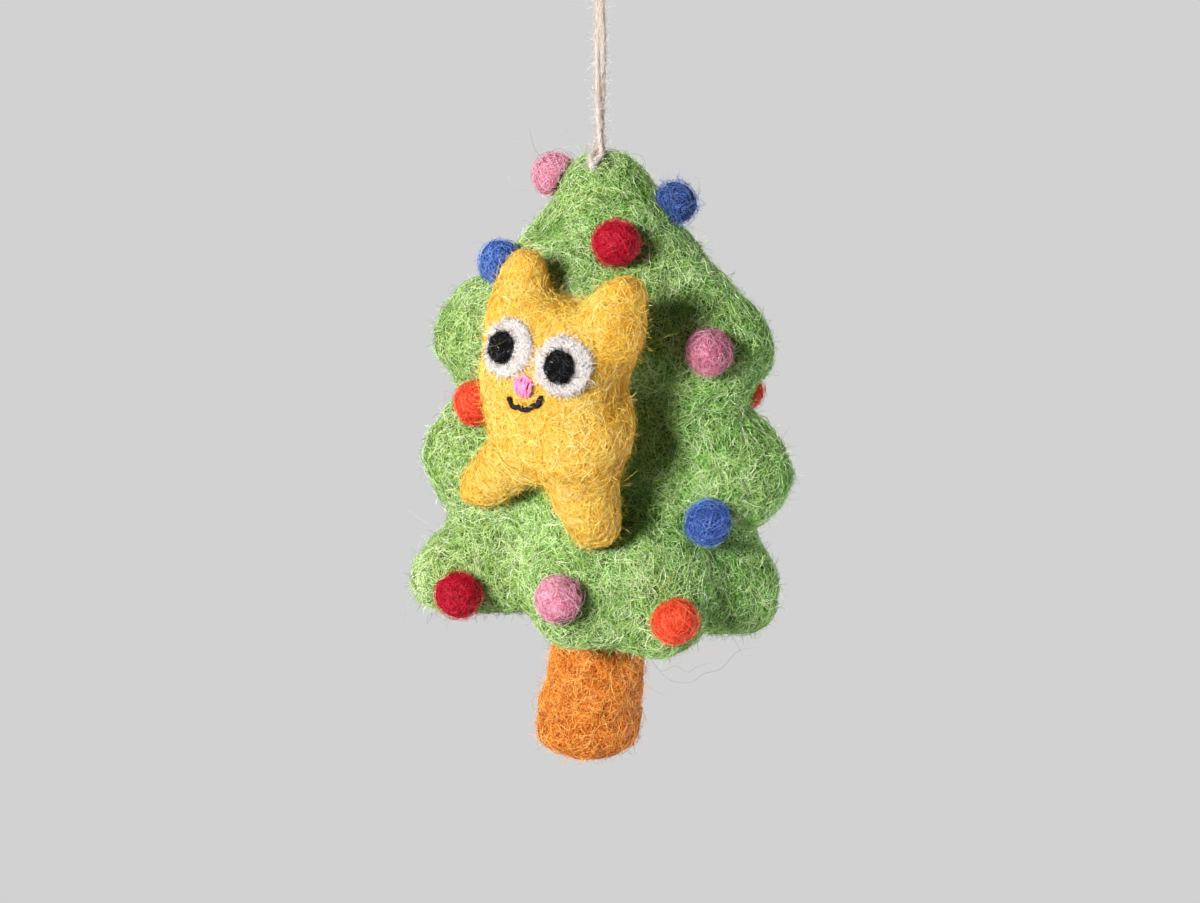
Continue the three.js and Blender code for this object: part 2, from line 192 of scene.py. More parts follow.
def smooth_path(rows, step):
    """Points a step apart along one smooth curve through the rows."""
    rows = np.asarray(rows, float)
    ends = np.vstack([2 * rows[0] - rows[1], rows, 2 * rows[-1] - rows[-2]])
    fine = []
    for a, b, c, d in zip(ends, ends[1:], ends[2:], ends[3:]):
        share = np.linspace(0, 1, curve_steps, endpoint=False)[:, None]
        bend = (2 * a - 5 * b + 4 * c - d) * share**2 + (3 * b - a - 3 * c + d) * share**3
        fine.append(b + ((c - a) * share + bend) / 2)
    fine = np.vstack([*fine, rows[-1:]])
    along = np.concatenate([[0], np.cumsum(np.linalg.norm(np.diff(fine, axis=0), axis=1))])
    spots = np.linspace(0, along[-1], max(int(along[-1] / step), 2) + 1)
    return np.stack([np.interp(spots, along, fine[:, axis]) for axis in range(3)], axis=1)


def carried_sides(path):
    """Two directions across a path at each of its points, that never spin about it."""
    ahead = unit(np.gradient(path, axis=0))
    side = np.cross(ahead[0], oblique_way)
    sides = []
    for way in ahead:
        side = side - way * (side @ way)
        side = side / np.linalg.norm(side)
        sides.append(side)
    sides = np.array(sides)
    return sides, np.cross(ahead, sides)


def tube(path, radius, sides):
    """Points and triangles of a closed round tube along a path."""
    across, up = carried_sides(path)
    turns = 2 * math.pi * np.arange(sides) / sides
    rim = across[:, None] * np.cos(turns)[:, None] + up[:, None] * np.sin(turns)[:, None]
    rings = path[:, None] + rim * radius
    points = np.vstack([rings.reshape(-1, 3), path[:1], path[-1:]])
    i, j = np.meshgrid(np.arange(len(path) - 1), np.arange(sides), indexing="ij")
    a, b = i * sides + j, i * sides + (j + 1) % sides
    walls = np.stack([a, b, b + sides, a, b + sides, a + sides], axis=-1).reshape(-1, 3)
    j = np.arange(sides)
    after, end = (j + 1) % sides, (len(path) - 1) * sides
    first = np.stack([np.full(sides, len(points) - 2), after, j], axis=-1)
    last = np.stack([np.full(sides, len(points) - 1), end + j, end + after], axis=-1)
    return points, np.vstack([walls, first, last])


def joined(shapes):
    """One set of points and triangles from several."""
    points, triangles, start = [], [], 0
    for some, faces in shapes:
        points.append(some)
        triangles.append(faces + start)
        start += len(some)
    return np.vstack(points), np.vstack(triangles)


def yarn(path, size=1.0):
    """Points and triangles of a softly twisted yarn of several plies along a path."""
    across, up = carried_sides(path)
    steps = np.linalg.norm(np.diff(path, axis=0), axis=1)
    along = np.concatenate([[0], np.cumsum(steps)])
    plies = []
    for ply in range(ply_count):
        turn = 2 * math.pi * (along / (ply_pitch * size) + ply / ply_count)
        out = across * np.cos(turn)[:, None] + up * np.sin(turn)[:, None]
        plies.append(tube(path + out * ply_offset * size, ply_radius * size, ply_sides))
    return joined(plies)


def knot_path(centre, radius):
    """The run of an overhand knot, whose lobes reach half as far again as the radius."""
    turn = np.linspace(0, 2 * math.pi, knot_spots)
    reach = radius * (1 + knot_swell_share * np.cos(3 * turn))
    level = radius * knot_height_share * np.sin(3 * turn)
    return centre + np.stack([reach * np.cos(2 * turn), reach * np.sin(2 * turn), level], axis=1)


# Materials
plain_roughness = 0.9
plain_specular = 0.12
fibre_roughness = 0.5
speck_detail = 5
speck_roughness = 0.65
speck_distortion = 1.2
ramp_start_share = 0.32
ramp_run_share = 0.36


def material_of(name, colour, roughness=plain_roughness, specular=plain_specular):
    """A plain material and its shader node."""
    material = bpy.data.materials.new(name)
    material.use_nodes = True
    shader = material.node_tree.nodes["Principled BSDF"]
    shader.inputs["Base Color"].default_value = colour
    shader.inputs["Roughness"].default_value = roughness
    shader.inputs["Specular IOR Level"].default_value = specular
    return material, shader


def mottled(name, levels, grain, relief, roughness=plain_roughness):
    """A material mottled with several colours, with a fine relief of the same grain."""
    colours = [linear(*row) for row in levels]
    material, shader = material_of(name, colours[0], roughness)
    nodes, links = material.node_tree.nodes, material.node_tree.links
    place = nodes.new("ShaderNodeTexCoord")
    specks = nodes.new("ShaderNodeTexNoise")
    specks.inputs["Scale"].default_value = 1 / grain
    specks.inputs["Detail"].default_value = speck_detail
    specks.inputs["Roughness"].default_value = speck_roughness
    specks.inputs["Distortion"].default_value = speck_distortion
    ramp = nodes.new("ShaderNodeValToRGB")
    spots = ramp.color_ramp.elements
    while len(spots) < len(colours):
        spots.new(0.5)
    for i, colour in enumerate(colours):
        spots[i].position = ramp_start_share + ramp_run_share * i / (len(colours) - 1)
        spots[i].color = colour
    bump = nodes.new("ShaderNodeBump")
    bump.inputs["Distance"].default_value = relief
    links.new(place.outputs["Object"], specks.inputs["Vector"])
    links.new(specks.outputs["Fac"], ramp.inputs["Fac"])
    links.new(ramp.outputs["Color"], shader.inputs["Base Color"])
    links.new(specks.outputs["Fac"], bump.inputs["Height"])
    links.new(bump.outputs["Normal"], shader.inputs["Normal"])
    return material


def tones_of(name, *rows, gloss=0.35):
    """A plain material for each tone of a wool."""
    tones = []
    for i, row in enumerate(rows):
        material, _ = material_of(f"{name}_{i + 1}", linear(*row), fibre_roughness, gloss)
        tones.append(material)
    return tones


# Fibres
most_triangles = 190000
root_depth = 0.2 * mm
free_wander = 0.35


def turned(ways, axes, angles):
    """Vectors turned about axes across them by angles."""
    angles = angles[:, None]
    return ways * np.cos(angles) + np.cross(axes, ways) * np.sin(angles)


def any_tangent(rng, normals):
    """A random direction across each normal."""
    return unit(np.cross(normals, rng.normal(size=normals.shape)))


def ribbons(lines, outs, radii):
    """Points and triangles of flat fibres that narrow to a point at both ends."""
    count, spots, _ = lines.shape
    ahead = unit(np.gradient(lines, axis=1))
    side = unit(np.cross(ahead, outs)) * radii[:, None, None]
    inner = slice(1, spots - 1)
    rims = np.stack([lines[:, inner] - side[:, inner], lines[:, inner] + side[:, inner]], axis=2)
    points = np.concatenate([lines[:, :1], rims.reshape(count, -1, 3), lines[:, -1:]], axis=1)
    faces = [(0, 2, 1)]
    for a in range(1, 2 * spots - 5, 2):
        faces += [(a, a + 1, a + 3), (a, a + 3, a + 2)]
    end = 2 * spots - 3
    faces.append((end - 2, end - 1, end))
    return points, np.array(faces)


def threads(lines, outs, radii):
    """Points and triangles of thin three-sided fibres that taper to a point at both ends."""
    count, spots, _ = lines.shape
    ahead = unit(np.gradient(lines, axis=1))
    side = unit(np.cross(ahead, outs))
    up = np.cross(side, ahead)
    taper = np.sin(np.linspace(0, math.pi, spots)) ** 0.5
    inner = slice(1, spots - 1)
    turns = 2 * math.pi * np.arange(3) / 3 + math.pi / 2
    rim = side[:, inner, None] * np.cos(turns)[:, None] + up[:, inner, None] * np.sin(turns)[:, None]
    size = radii[:, None, None, None] * taper[inner][:, None, None]
    rings = (lines[:, inner, None] + rim * size).reshape(count, -1, 3)
    points = np.concatenate([lines[:, :1], rings, lines[:, -1:]], axis=1)
    faces = [(0, 1 + (j + 1) % 3, 1 + j) for j in range(3)]
    for i in range(spots - 3):
        for j in range(3):
            a, b = 1 + 3 * i + j, 1 + 3 * i + (j + 1) % 3
            faces += [(a, b, b + 3), (a, b + 3, a + 3)]
    end = 1 + 3 * (spots - 2)
    faces += [(end, end - 3 + j, end - 3 + (j + 1) % 3) for j in range(3)]
    return points, np.array(faces)


def fibre_pieces(name, weave, lines, outs, radii, tones, materials):
    """Pieces of fibres, split by height so that each has few enough triangles."""
    order = np.argsort(lines[:, 0, 2])
    _, faces = weave(lines[:1], outs[:1], radii[:1])
    groups = math.ceil(len(order) * len(faces) / most_triangles)
    pieces = []
    for i, some in enumerate(np.array_split(order, groups)):
        points, faces = weave(lines[some], outs[some], radii[some])
        starts = np.arange(len(some))[:, None, None] * points.shape[1]
        triangles = (faces[None] + starts).reshape(-1, 3)
        slots = np.repeat(tones[some], len(faces))
        piece_name = name if groups == 1 else f"{name}_{i + 1}"
        pieces.append(new_mesh(piece_name, points.reshape(-1, 3), triangles, slots, materials))
    return pieces


def free_wool(rng, place, normal, form):
    """Lines of fibres that leave places on a surface and curl in the air, and the way each faces."""
    count, spots = len(place), form["spots"]
    way = unit(any_tangent(rng, normal) + normal * rng.uniform(*form["slope"], count)[:, None])
    step = rng.uniform(*form["length"], count) / (spots - 1)
    axis = any_tangent(rng, way)
    turn = rng.normal(0, form["bend"], count)
    lines = [place - normal * root_depth]
    for _ in range(spots - 1):
        way = unit(turned(way, axis, turn))
        axis = unit(axis + rng.normal(0, free_wander, axis.shape))
        axis = unit(axis - way * (axis * way).sum(1)[:, None])
        lines.append(lines[-1] + way * step[:, None])
    return np.stack(lines, axis=1), np.repeat(normal[:, None], spots, axis=1)


# The hanging cord, one soft yarn from the knot up round its hook and back
def strand_spot(side, fallen):
    """A place on one of the two strands, which wind round each other."""
    turn = math.pi * fallen / strand_half_turn
    out = side * strand_spread
    return (out * math.cos(turn), out * math.sin(turn), strand_top - fallen)


strand_falls = [strand_length * i / strand_steps for i in range(strand_steps + 1)]
rising = [strand_spot(-1, fallen) for fallen in reversed(strand_falls)]
falling = [strand_spot(1, fallen) for fallen in strand_falls]
eye_spots = []
for i in range(eye_steps + 1):
    turn = eye_arc * (0.5 - i / eye_steps)
    eye_spots.append((-eye_radius * math.sin(turn), 0, eye_centre + eye_radius * math.cos(turn)))
cord_path = smooth_path([knot_centre, *rising, *eye_spots, *falling, knot_centre], cord_step)

cream_levels = [(210, 190, 176), (230, 216, 204), (243, 236, 228)]
cream_grain = 0.6 * mm
cream_relief = 0.08 * mm
cream_depth = 0.5 * mm
cream_softness = 0.5
cream = mottled("cord_cream", cream_levels, cream_grain, cream_relief)
cream_shader = cream.node_tree.nodes["Principled BSDF"]
cream_shader.inputs["Subsurface Weight"].default_value = cream_softness
cream_shader.inputs["Subsurface Scale"].default_value = cream_depth
cream_tones = tones_of("cord_wool", (214, 194, 180), (232, 219, 208), (245, 239, 233), gloss=0.2)


def yarn_hair(name, path, counts, size=1.0):
    """Hairs that wind along a yarn, and loose ones that stand off it."""
    rng = next_rng()
    wound = counts[0]
    count = sum(counts)
    across, up = carried_sides(path)
    first = rng.integers(0, len(path) - hair_spots, count)
    share = np.linspace(0, 1, hair_spots)
    turn = rng.uniform(0, 2 * math.pi, (count, 1)) + share * rng.normal(*hair_turn, (count, 1))
    outs = across[first, None] * np.cos(turn)[..., None] + up[first, None] * np.sin(turn)[..., None]
    start = rng.uniform(*hair_ripple_start, (count, 1))
    ripple = hair_ripple * np.sin(start + share * rng.uniform(*hair_ripple_run, (count, 1)))
    lift = np.abs(rng.normal(0, hair_lift, (count, 1))) * share**2
    spread = rng.uniform(*hair_spread, (count, 1)) + ripple + lift
    lines = path[first[:, None] + np.arange(hair_spots)] + outs * spread[..., None] * size
    free, free_outs = free_wool(rng, lines[wound:, 0], outs[wound:, 0], loose_hair)
    lines = np.concatenate([lines[:wound], free])
    outs = np.concatenate([outs[:wound], rng.normal(size=free_outs.shape)])
    radii = rng.uniform(*hair_radius, count)
    tones = rng.integers(0, len(cream_tones), count)
    (hair,) = fibre_pieces(name, ribbons, lines, outs, radii, tones, cream_tones)
    return hair


cord = new_mesh("hanging_cord", *yarn(cord_path), materials=[cream])
cord_hair = yarn_hair("hanging_cord_hair", cord_path, cord_hairs)
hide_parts("hanging_eye", "cord_strand_left", "cord_strand_right")
for piece in (cord, cord_hair):
    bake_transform(piece)


def short_yarn(name, path, node, body, size):
    """A short run of the cord's yarn, with its hairs, in the place of a solid."""
    run = new_mesh(name, *yarn(path, size), materials=[cream])
    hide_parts(node)
    for piece in (run, yarn_hair(f"{name}_hair", path, short_hairs, size)):
        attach(piece, body)


apex_run = knot_path(knot_centre, knot_radius * knot_lobe_share)
stitch_run = smooth_path(stitch_rows, cord_step)
anchor_run = smooth_path(anchor_rows, cord_step)
anchor_end = knot_path(anchor_knot_centre, anchor_knot_radius * anchor_lobe_share)
short_yarn("apex_knot", apex_run, "cord_knot", "knot", apex_knot_share)
short_yarn("apex_v_stitch", stitch_run, "apex_stitch", "ornament", stitch_share)
short_yarn("anchor_yarn", anchor_run, "anchor_cord", "ornament", anchor_share)
short_yarn("anchor_yarn_knot", anchor_end, "anchor_knot", "ornament", anchor_knot_share)

# Felt
weld_reach = 0.01 * mm
smooth_factor = 0.5
waist_reach = 9 * mm
tipped_share = 0.35
lying_tilt = 0.7
patch_size = 9 * mm
patch_weight = 0.25
hue_patch_size = 7 * mm
hue_patch_weight = 0.5
hue_patch_shift = Vector((7, 3, 5))
# The second hue grows more common towards the right, over this reach and by this weight
hue_side_reach = 36 * mm
hue_side_weight = 0.4
cat_low, cat_high = (np.array(corner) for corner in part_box("cat_body"))
cat_middle = (cat_low + cat_high) / 2


def skin_points(piece):
    """A skin's points and their normals."""
    mesh = piece.data
    co = np.zeros(len(mesh.vertices) * 3)
    mesh.vertices.foreach_get("co", co)
    normals = np.zeros(len(mesh.vertices) * 3)
    mesh.vertex_normals.foreach_get("vector", normals)
    return co.reshape(-1, 3), normals.reshape(-1, 3)


def skin_corners(piece):
    """A skin's triangles, as the numbers of their points."""
    mesh = piece.data
    mesh.calc_loop_triangles()
    corners = np.zeros(len(mesh.loop_triangles) * 3, np.int32)
    mesh.loop_triangles.foreach_get("vertices", corners)
    return corners.reshape(-1, 3)


def waist(co, level, height, depth):
    """The cat's points with its right side drawn in at a level."""
    share = np.clip((co - cat_middle) @ cat_right / waist_reach, 0, 1)
    share = share * np.exp(-(((co[:, 2] - level) / height) ** 2))
    return co - cat_right * (depth * share)[:, None]


def rise(co, normals, aside, level, reach, height):
    """The tree's points with its front raised round a place."""
    away = np.hypot(co[:, 0] - aside, co[:, 2] - level) / reach
    out = height * np.exp(-(away**2)) * np.clip(-2 * normals[:, 1], 0, 1)
    return co - out[:, None] * (0, 1, 0)


def felt_skin(name, nodes, form):
    """A smooth uneven skin over some of the part's solids, their creases filled."""
    solids = [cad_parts[node] for node in nodes]
    piece = new_mesh(name, *joined([(skin_points(solid)[0], skin_corners(solid)) for solid in solids]))
    weld = piece.modifiers.new("weld", "WELD")
    weld.merge_threshold = weld_reach
    closing = form.get("closing", 0)
    # Where it swells and shrinks again, its creases stay filled
    for shift in (closing, -closing, 0) if closing else (0,):
        remesh = piece.modifiers.new("remesh", "REMESH")
        remesh.mode = "VOXEL"
        remesh.voxel_size = form["grain"]
        if shift:
            swell = piece.modifiers.new("swell", "DISPLACE")
            swell.mid_level = 0
            swell.strength = shift
    smooth = piece.modifiers.new("smooth", "SMOOTH")
    smooth.factor = smooth_factor
    smooth.iterations = form["smoothing"]
    even = piece.evaluated_get(bpy.context.evaluated_depsgraph_get())
    mesh = bpy.data.meshes.new_from_object(even)
    piece.modifiers.clear()
    piece.data = mesh
    mesh.name = name
    co, normals = skin_points(piece)
    out = np.full(len(co), -form["inset"])
    for i, (height, size) in enumerate(form["lumps"]):
        shift = Vector((i, i, i))
        out += height * np.array([noise.noise(Vector(p / size) + shift) for p in co])
    co = co + normals * out[:, None]
    for row in form.get("waists", ()):
        co = waist(co, *row)
    for row in form.get("rises", ()):
        co = rise(co, normals, *row)
    mesh.vertices.foreach_set("co", co.ravel())
    mesh.update()
    mesh.shade_smooth()
    return piece


class Skin:
    """A skin to grow wool on, and the skins beside it that the wool may reach over."""

    def __init__(self, piece, beside=()):
        self.points, _ = skin_points(piece)
        self.corners = skin_corners(piece)
        a, b, c = (self.points[self.corners[:, k]] for k in range(3))
        crossed = np.cross(b - a, c - a)
        self.areas = np.linalg.norm(crossed, axis=1) / 2
        self.facing = unit(crossed)
        around = [(skin_points(other)[0], skin_corners(other)) for other in beside]
        points, corners = joined([(self.points, self.corners), *around])
        self.finder = BVHTree.FromPolygons(points.tolist(), corners.tolist())

    def picked(self, rng, count):
        """Places picked evenly over the skin, and the way it faces there."""
        chosen = rng.choice(len(self.areas), count, p=self.areas / self.areas.sum())
        a, b, c = (self.points[self.corners[chosen, k]] for k in range(3))
        u, v = rng.random((2, count, 1))
        over = u + v > 1
        u, v = np.where(over, 1 - u, u), np.where(over, 1 - v, v)
        return a + (b - a) * u + (c - a) * v, self.facing[chosen]

    def nearest(self, points):
        """The nearest places on the skins, and the way they face there."""
        found = [self.finder.find_nearest(point) for point in points]
        return np.array([hit[0] for hit in found]), np.array([hit[1] for hit in found])


def lying_wool(skin, rng, count, kind):
    """Lines of fibres that lie on a skin and curl along it, and the way that each faces."""
    spots = kind["spots"]
    place, normal = skin.picked(rng, count)
    way = any_tangent(rng, normal)
    step = rng.uniform(*kind["length"], count) / (spots - 1)
    turn = rng.normal(0, kind["bend"], count)
    heights = rng.uniform(*kind["height"], count)
    lifts = np.abs(rng.normal(0, kind["lift"], count))
    tipped = rng.random(count) < tipped_share
    tilt = rng.normal(0, lying_tilt, (count, 3))
    lines, outs = [], []
    for k in range(spots):
        share = k / (spots - 1)
        arch = np.where(tipped, share**2, math.sin(math.pi * share))
        lines.append(place + normal * (heights + lifts * arch)[:, None])
        outs.append(unit(normal + tilt))
        if k < spots - 1:
            way = turned(way, normal, turn + rng.normal(0, kind["wobble"], count))
            place, normal = skin.nearest(place + way * step[:, None])
            way = unit(way - normal * (way * normal).sum(1)[:, None])
    return np.stack(lines, axis=1), np.stack(outs, axis=1)


def tone_of(roots, rng, kind):
    """The number of each fibre's tone, from dark to light in two hues, both shifted in soft patches,
    with more of the second hue towards the right.
    """
    level = np.cumsum(kind["weights"]) / sum(kind["weights"])
    drift = np.array([noise.noise(Vector(root / patch_size)) for root in roots])
    share = rng.random(len(roots)) + patch_weight * drift
    light = np.searchsorted(level, share, side="right").clip(0, len(level) - 1)
    drift = np.array([noise.noise(Vector(root / hue_patch_size) + hue_patch_shift) for root in roots])
    across = np.clip(roots[:, 0] / hue_side_reach, -1, 1)
    limit = kind["second_hue"] + hue_patch_weight * drift + hue_side_weight * across
    second = rng.random(len(roots)) < limit
    return light + (second & (kind["second_hue"] > 0)) * len(level)


def wool(name, skin, rng, kind):
    """Pieces of wool on a skin: lying fibres, longer strands, short fuzz and loose wisps."""
    count = kind["count"]
    lines, outs = lying_wool(skin, rng, count, kind)
    radii = rng.uniform(*kind["radius"], count)
    tones = tone_of(lines[:, 0], rng, kind)
    pieces = fibre_pieces(f"{name}_wool", ribbons, lines, outs, radii, tones, kind["tones"])
    for layer in ("strands", "fuzz", "wisps"):
        form = kind[layer]
        some = int(count * form["share"])
        if not some:
            continue
        if "slope" in form:
            lines, _ = free_wool(rng, *skin.picked(rng, some), form)
            outs = np.broadcast_to(rng.normal(size=(some, 1, 3)), lines.shape)
        else:
            lines, outs = lying_wool(skin, rng, some, form)
        tones = rng.integers(1, len(kind["tones"]), some)
        radii = rng.uniform(*form["radius"], some)
        weave = ribbons if layer == "fuzz" else threads
        pieces += fibre_pieces(f"{name}_{layer}", weave, lines, outs, radii, tones, kind["tones"])
    return pieces


def felted(name, nodes, kind, beside=()):
    """A felt piece for some of the part's solids, with its wool."""
    skin = felt_skin(f"{name}_felt", nodes, kind["form"])
    skin.data.materials.append(mottled(f"{name}_surface", **kind["surface"]))
    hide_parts(*nodes)
    for piece in [skin, *wool(name, Skin(skin, beside), next_rng(), kind)]:
        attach(piece, "ornament")
    return skin


# Kinds of wool: each with its tones, its fibres, the felt under them and the form of its skin
no_layer = {"share": 0}
fuzz = {
    "share": 0.28,
    "slope": (0.15, 1.4),
    "length": (1.5 * mm, 4.2 * mm),
    "radius": (0.022 * mm, 0.038 * mm),
    "bend": 0.4,
    "spots": 7,
}
close_fuzz = {**fuzz, "share": 0.14, "slope": (0.1, 0.5), "length": (1 * mm, 2.6 * mm)}
tree_kind = {
    "tones": tones_of(
        "green_wool",
        (90, 122, 32),
        (156, 194, 88),
        (198, 228, 140),
        (222, 241, 176),
        (243, 250, 212),
        (58, 108, 30),
        (110, 180, 70),
        (158, 217, 112),
        (194, 236, 148),
        (224, 247, 188),
        gloss=0.26,
    ),
    "weights": [0.18, 0.24, 0.26, 0.2, 0.12],
    "second_hue": 0.35,
    "count": 100000,
    "spots": 7,
    "length": (2.8 * mm, 6.4 * mm),
    "bend": 0.2,
    "wobble": 0.18,
    "height": (0, 0.65 * mm),
    "lift": 0.3 * mm,
    "radius": (0.02 * mm, 0.058 * mm),
    "strands": {
        "share": 0.04,
        "length": (5 * mm, 12 * mm),
        "radius": (0.03 * mm, 0.052 * mm),
        "bend": 0.14,
        "wobble": 0.22,
        "height": (0.45 * mm, 0.7 * mm),
        "lift": 0.5 * mm,
        "spots": 14,
    },
    "fuzz": fuzz,
    "wisps": {
        "share": 0.0028,
        "slope": (0.1, 0.8),
        "length": (5 * mm, 13 * mm),
        "radius": (0.016 * mm, 0.024 * mm),
        "bend": 0.4,
        "spots": 14,
    },
    # The felt under the green wool is far darker than the wool itself: partly its own deeper green,
    # partly painted shade for the gaps between the fibres
    "surface": {
        "levels": [(30, 42, 8), (64, 90, 24), (114, 148, 62)],
        "grain": 1.1 * mm,
        "relief": 0.3 * mm,
    },
    "form": {
        "grain": 0.9 * mm,
        "smoothing": 4,
        "inset": 0.7 * mm,
        "closing": 2.3 * mm,
        "lumps": [(0.9 * mm, 9 * mm), (0.5 * mm, 3.5 * mm)],
        "rises": [(-12 * mm, -90 * mm, 7 * mm, 5.5 * mm)],
    },
}
cat_kind = {
    **tree_kind,
    "tones": tones_of(
        "yellow_wool",
        (226, 168, 40),
        (247, 206, 76),
        (253, 225, 108),
        (255, 240, 160),
        (218, 148, 24),
        (245, 195, 56),
        (251, 213, 82),
        (254, 232, 132),
        gloss=0.24,
    ),
    "weights": [0.14, 0.3, 0.34, 0.22],
    "count": 28000,
    "length": (2.6 * mm, 6 * mm),
    "bend": 0.16,
    "wobble": 0.14,
    "lift": 0.22 * mm,
    "surface": {
        "levels": [(200, 132, 26), (234, 178, 56), (246, 204, 86)],
        "grain": 1.4 * mm,
        "relief": 0.25 * mm,
    },
    "form": {
        "grain": 0.7 * mm,
        "smoothing": 4,
        "inset": 0.35 * mm,
        "closing": 2 * mm,
        "lumps": [(0.6 * mm, 7 * mm), (0.3 * mm, 2.5 * mm)],
        "waists": [
            (-94 * mm, 7 * mm, 1.1 * mm),
            (-109.5 * mm, 6 * mm, 2.2 * mm),
            (-131 * mm, 6 * mm, 1.9 * mm),
        ],
    },
}
trunk_kind = {
    **tree_kind,
    "tones": tones_of(
        "brown_wool",
        (196, 90, 18),
        (246, 155, 52),
        (252, 180, 78),
        (255, 206, 120),
        (160, 68, 12),
        (236, 130, 36),
        (250, 158, 56),
        (254, 190, 96),
        gloss=0.28,
    ),
    "weights": [0.2, 0.32, 0.3, 0.18],
    "count": 13000,
    "length": (3 * mm, 6 * mm),
    "lift": 0.2 * mm,
    "surface": {
        "levels": [(112, 46, 10), (184, 90, 26), (226, 132, 52)],
        "grain": 1.1 * mm,
        "relief": 0.3 * mm,
    },
    "form": {
        "grain": 0.7 * mm,
        "smoothing": 4,
        "inset": 0.5 * mm,
        "lumps": [(0.8 * mm, 6 * mm), (0.4 * mm, 2.5 * mm)],
    },
}


def small_kind(name, rows, gloss=0.3, **changes):
    """The wool of a small piece: short, close, in one family of tones."""
    return {
        **tree_kind,
        "tones": tones_of(name, *rows, gloss=gloss),
        "second_hue": 0,
        "length": (1.4 * mm, 3.4 * mm),
        "height": (0, 0.3 * mm),
        "lift": 0.14 * mm,
        **changes,
    }


# The baubles' hues: the tones of each one's wool and the levels of the felt under it
bauble_hues = {
    "crimson": (
        [(140, 2, 24), (202, 8, 44), (226, 34, 66)],
        [(140, 12, 34), (190, 24, 52)],
    ),
    "blue": (
        [(26, 44, 104), (64, 104, 194), (124, 162, 232)],
        [(28, 46, 104), (58, 92, 164)],
    ),
    "darker_blue": (
        [(14, 26, 66), (44, 76, 150), (100, 134, 200)],
        [(16, 28, 68), (40, 66, 124)],
    ),
    "pink": (
        [(194, 94, 122), (236, 152, 176), (250, 200, 216)],
        [(182, 92, 118), (222, 140, 166)],
    ),
    "darker_pink": (
        [(170, 74, 104), (216, 130, 156), (238, 178, 196)],
        [(160, 76, 102), (204, 120, 148)],
    ),
    "orange": (
        [(210, 36, 16), (248, 72, 38), (254, 122, 82)],
        [(206, 52, 26), (244, 90, 56)],
    ),
}
# The blue bauble by the apex and the pink one on the right take darker tones than the others of their
# hue
deeper_hues = {"blue_bauble_by_the_apex": "darker_blue", "pink_bauble_on_the_right": "darker_pink"}
bauble_form = {
    "grain": 0.5 * mm,
    "smoothing": 3,
    "inset": 0.35 * mm,
    "lumps": [(0.4 * mm, 4 * mm)],
}
bauble_kinds = {
    hue: small_kind(
        f"{hue}_wool",
        tones,
        weights=[0.24, 0.45, 0.31],
        count=2300,
        fuzz=close_fuzz,
        surface={"levels": levels, "grain": 0.8 * mm, "relief": 0.2 * mm},
        form=bauble_form,
    )
    for hue, (tones, levels) in bauble_hues.items()
}
bauble_kinds["darker_blue"]["fuzz"] = {**close_fuzz, "share": 0.32, "length": (1.6 * mm, 4.2 * mm)}
bauble_kinds["darker_blue"]["form"] = {**bauble_form, "inset": 0.8 * mm}
white_kind = small_kind(
    "white_wool",
    [(212, 199, 192), (236, 228, 224), (250, 247, 245)],
    weights=[0.24, 0.42, 0.34],
    count=5000,
    length=(1.8 * mm, 4.4 * mm),
    height=(0, 0.45 * mm),
    radius=(0.016 * mm, 0.036 * mm),
    lift=0.2 * mm,
    strands=no_layer,
    fuzz={
        **fuzz,
        "share": 0.5,
        "length": (1.2 * mm, 2.7 * mm),
        "slope": (-0.2, 0.08),
        "bend": 0.36,
        "radius": (0.03 * mm, 0.055 * mm),
    },
    wisps=no_layer,
    surface={
        "levels": [(214, 202, 194), (240, 233, 228)],
        "grain": 0.8 * mm,
        "relief": 0.1 * mm,
    },
    form={
        "grain": 0.3 * mm,
        "smoothing": 6,
        "inset": 0.38 * mm,
        "lumps": [(0.2 * mm, 2.5 * mm)],
    },
)
black_kind = small_kind(
    "black_wool",
    [(10, 10, 11), (20, 20, 22), (84, 82, 84)],
    gloss=0.05,
    weights=[0.5, 0.42, 0.08],
    count=2200,
    radius=(0.02 * mm, 0.045 * mm),
    length=(1 * mm, 2.8 * mm),
    height=(0, 0.4 * mm),
    lift=0.16 * mm,
    strands=no_layer,
    fuzz={
        **fuzz,
        "share": 0.35,
        "length": (1 * mm, 2.6 * mm),
        "slope": (-0.15, 0.2),
        "radius": (0.025 * mm, 0.045 * mm),
    },
    wisps=no_layer,
    surface={
        "levels": [(12, 12, 13), (24, 24, 26)],
        "grain": 0.6 * mm,
        "relief": 0.1 * mm,
    },
    form={
        "grain": 0.25 * mm,
        "smoothing": 6,
        "inset": 0.3 * mm,
        "lumps": [(0.2 * mm, 1.6 * mm)],
    },
)

# The felted pieces
tiers = ["tree_top_tier", "tree_middle_tier", "tree_bottom_tier"]
cat_lumps = ["cat_body", "cat_left_ear", "cat_right_ear", "cat_left_leg", "cat_right_leg"]
tree = felted("tree", tiers, tree_kind)
trunk = felted("trunk", ["trunk"], trunk_kind)
cat = felted("cat", cat_lumps, cat_kind)
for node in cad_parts:
    if "bauble" in node:
        hue = node.split("_")[0]
        felted(node, [node], bauble_kinds[deeper_hues.get(node, hue)])
for side in ("left", "right"):
    eye_white = [f"cat_{side}_eye_white"]
    white = felted(f"{side}_eye_white", eye_white, white_kind, [cat])
    felted(f"{side}_pupil", [f"cat_{side}_pupil"], black_kind, [white])


def stitched(name, node, runs, thread):
    """A stitched mark on the cat's face, of several short runs of yarn, in the place of a solid."""
    piece = new_mesh(name, *joined(runs), materials=[thread])
    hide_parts(node)
    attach(piece, "ornament")


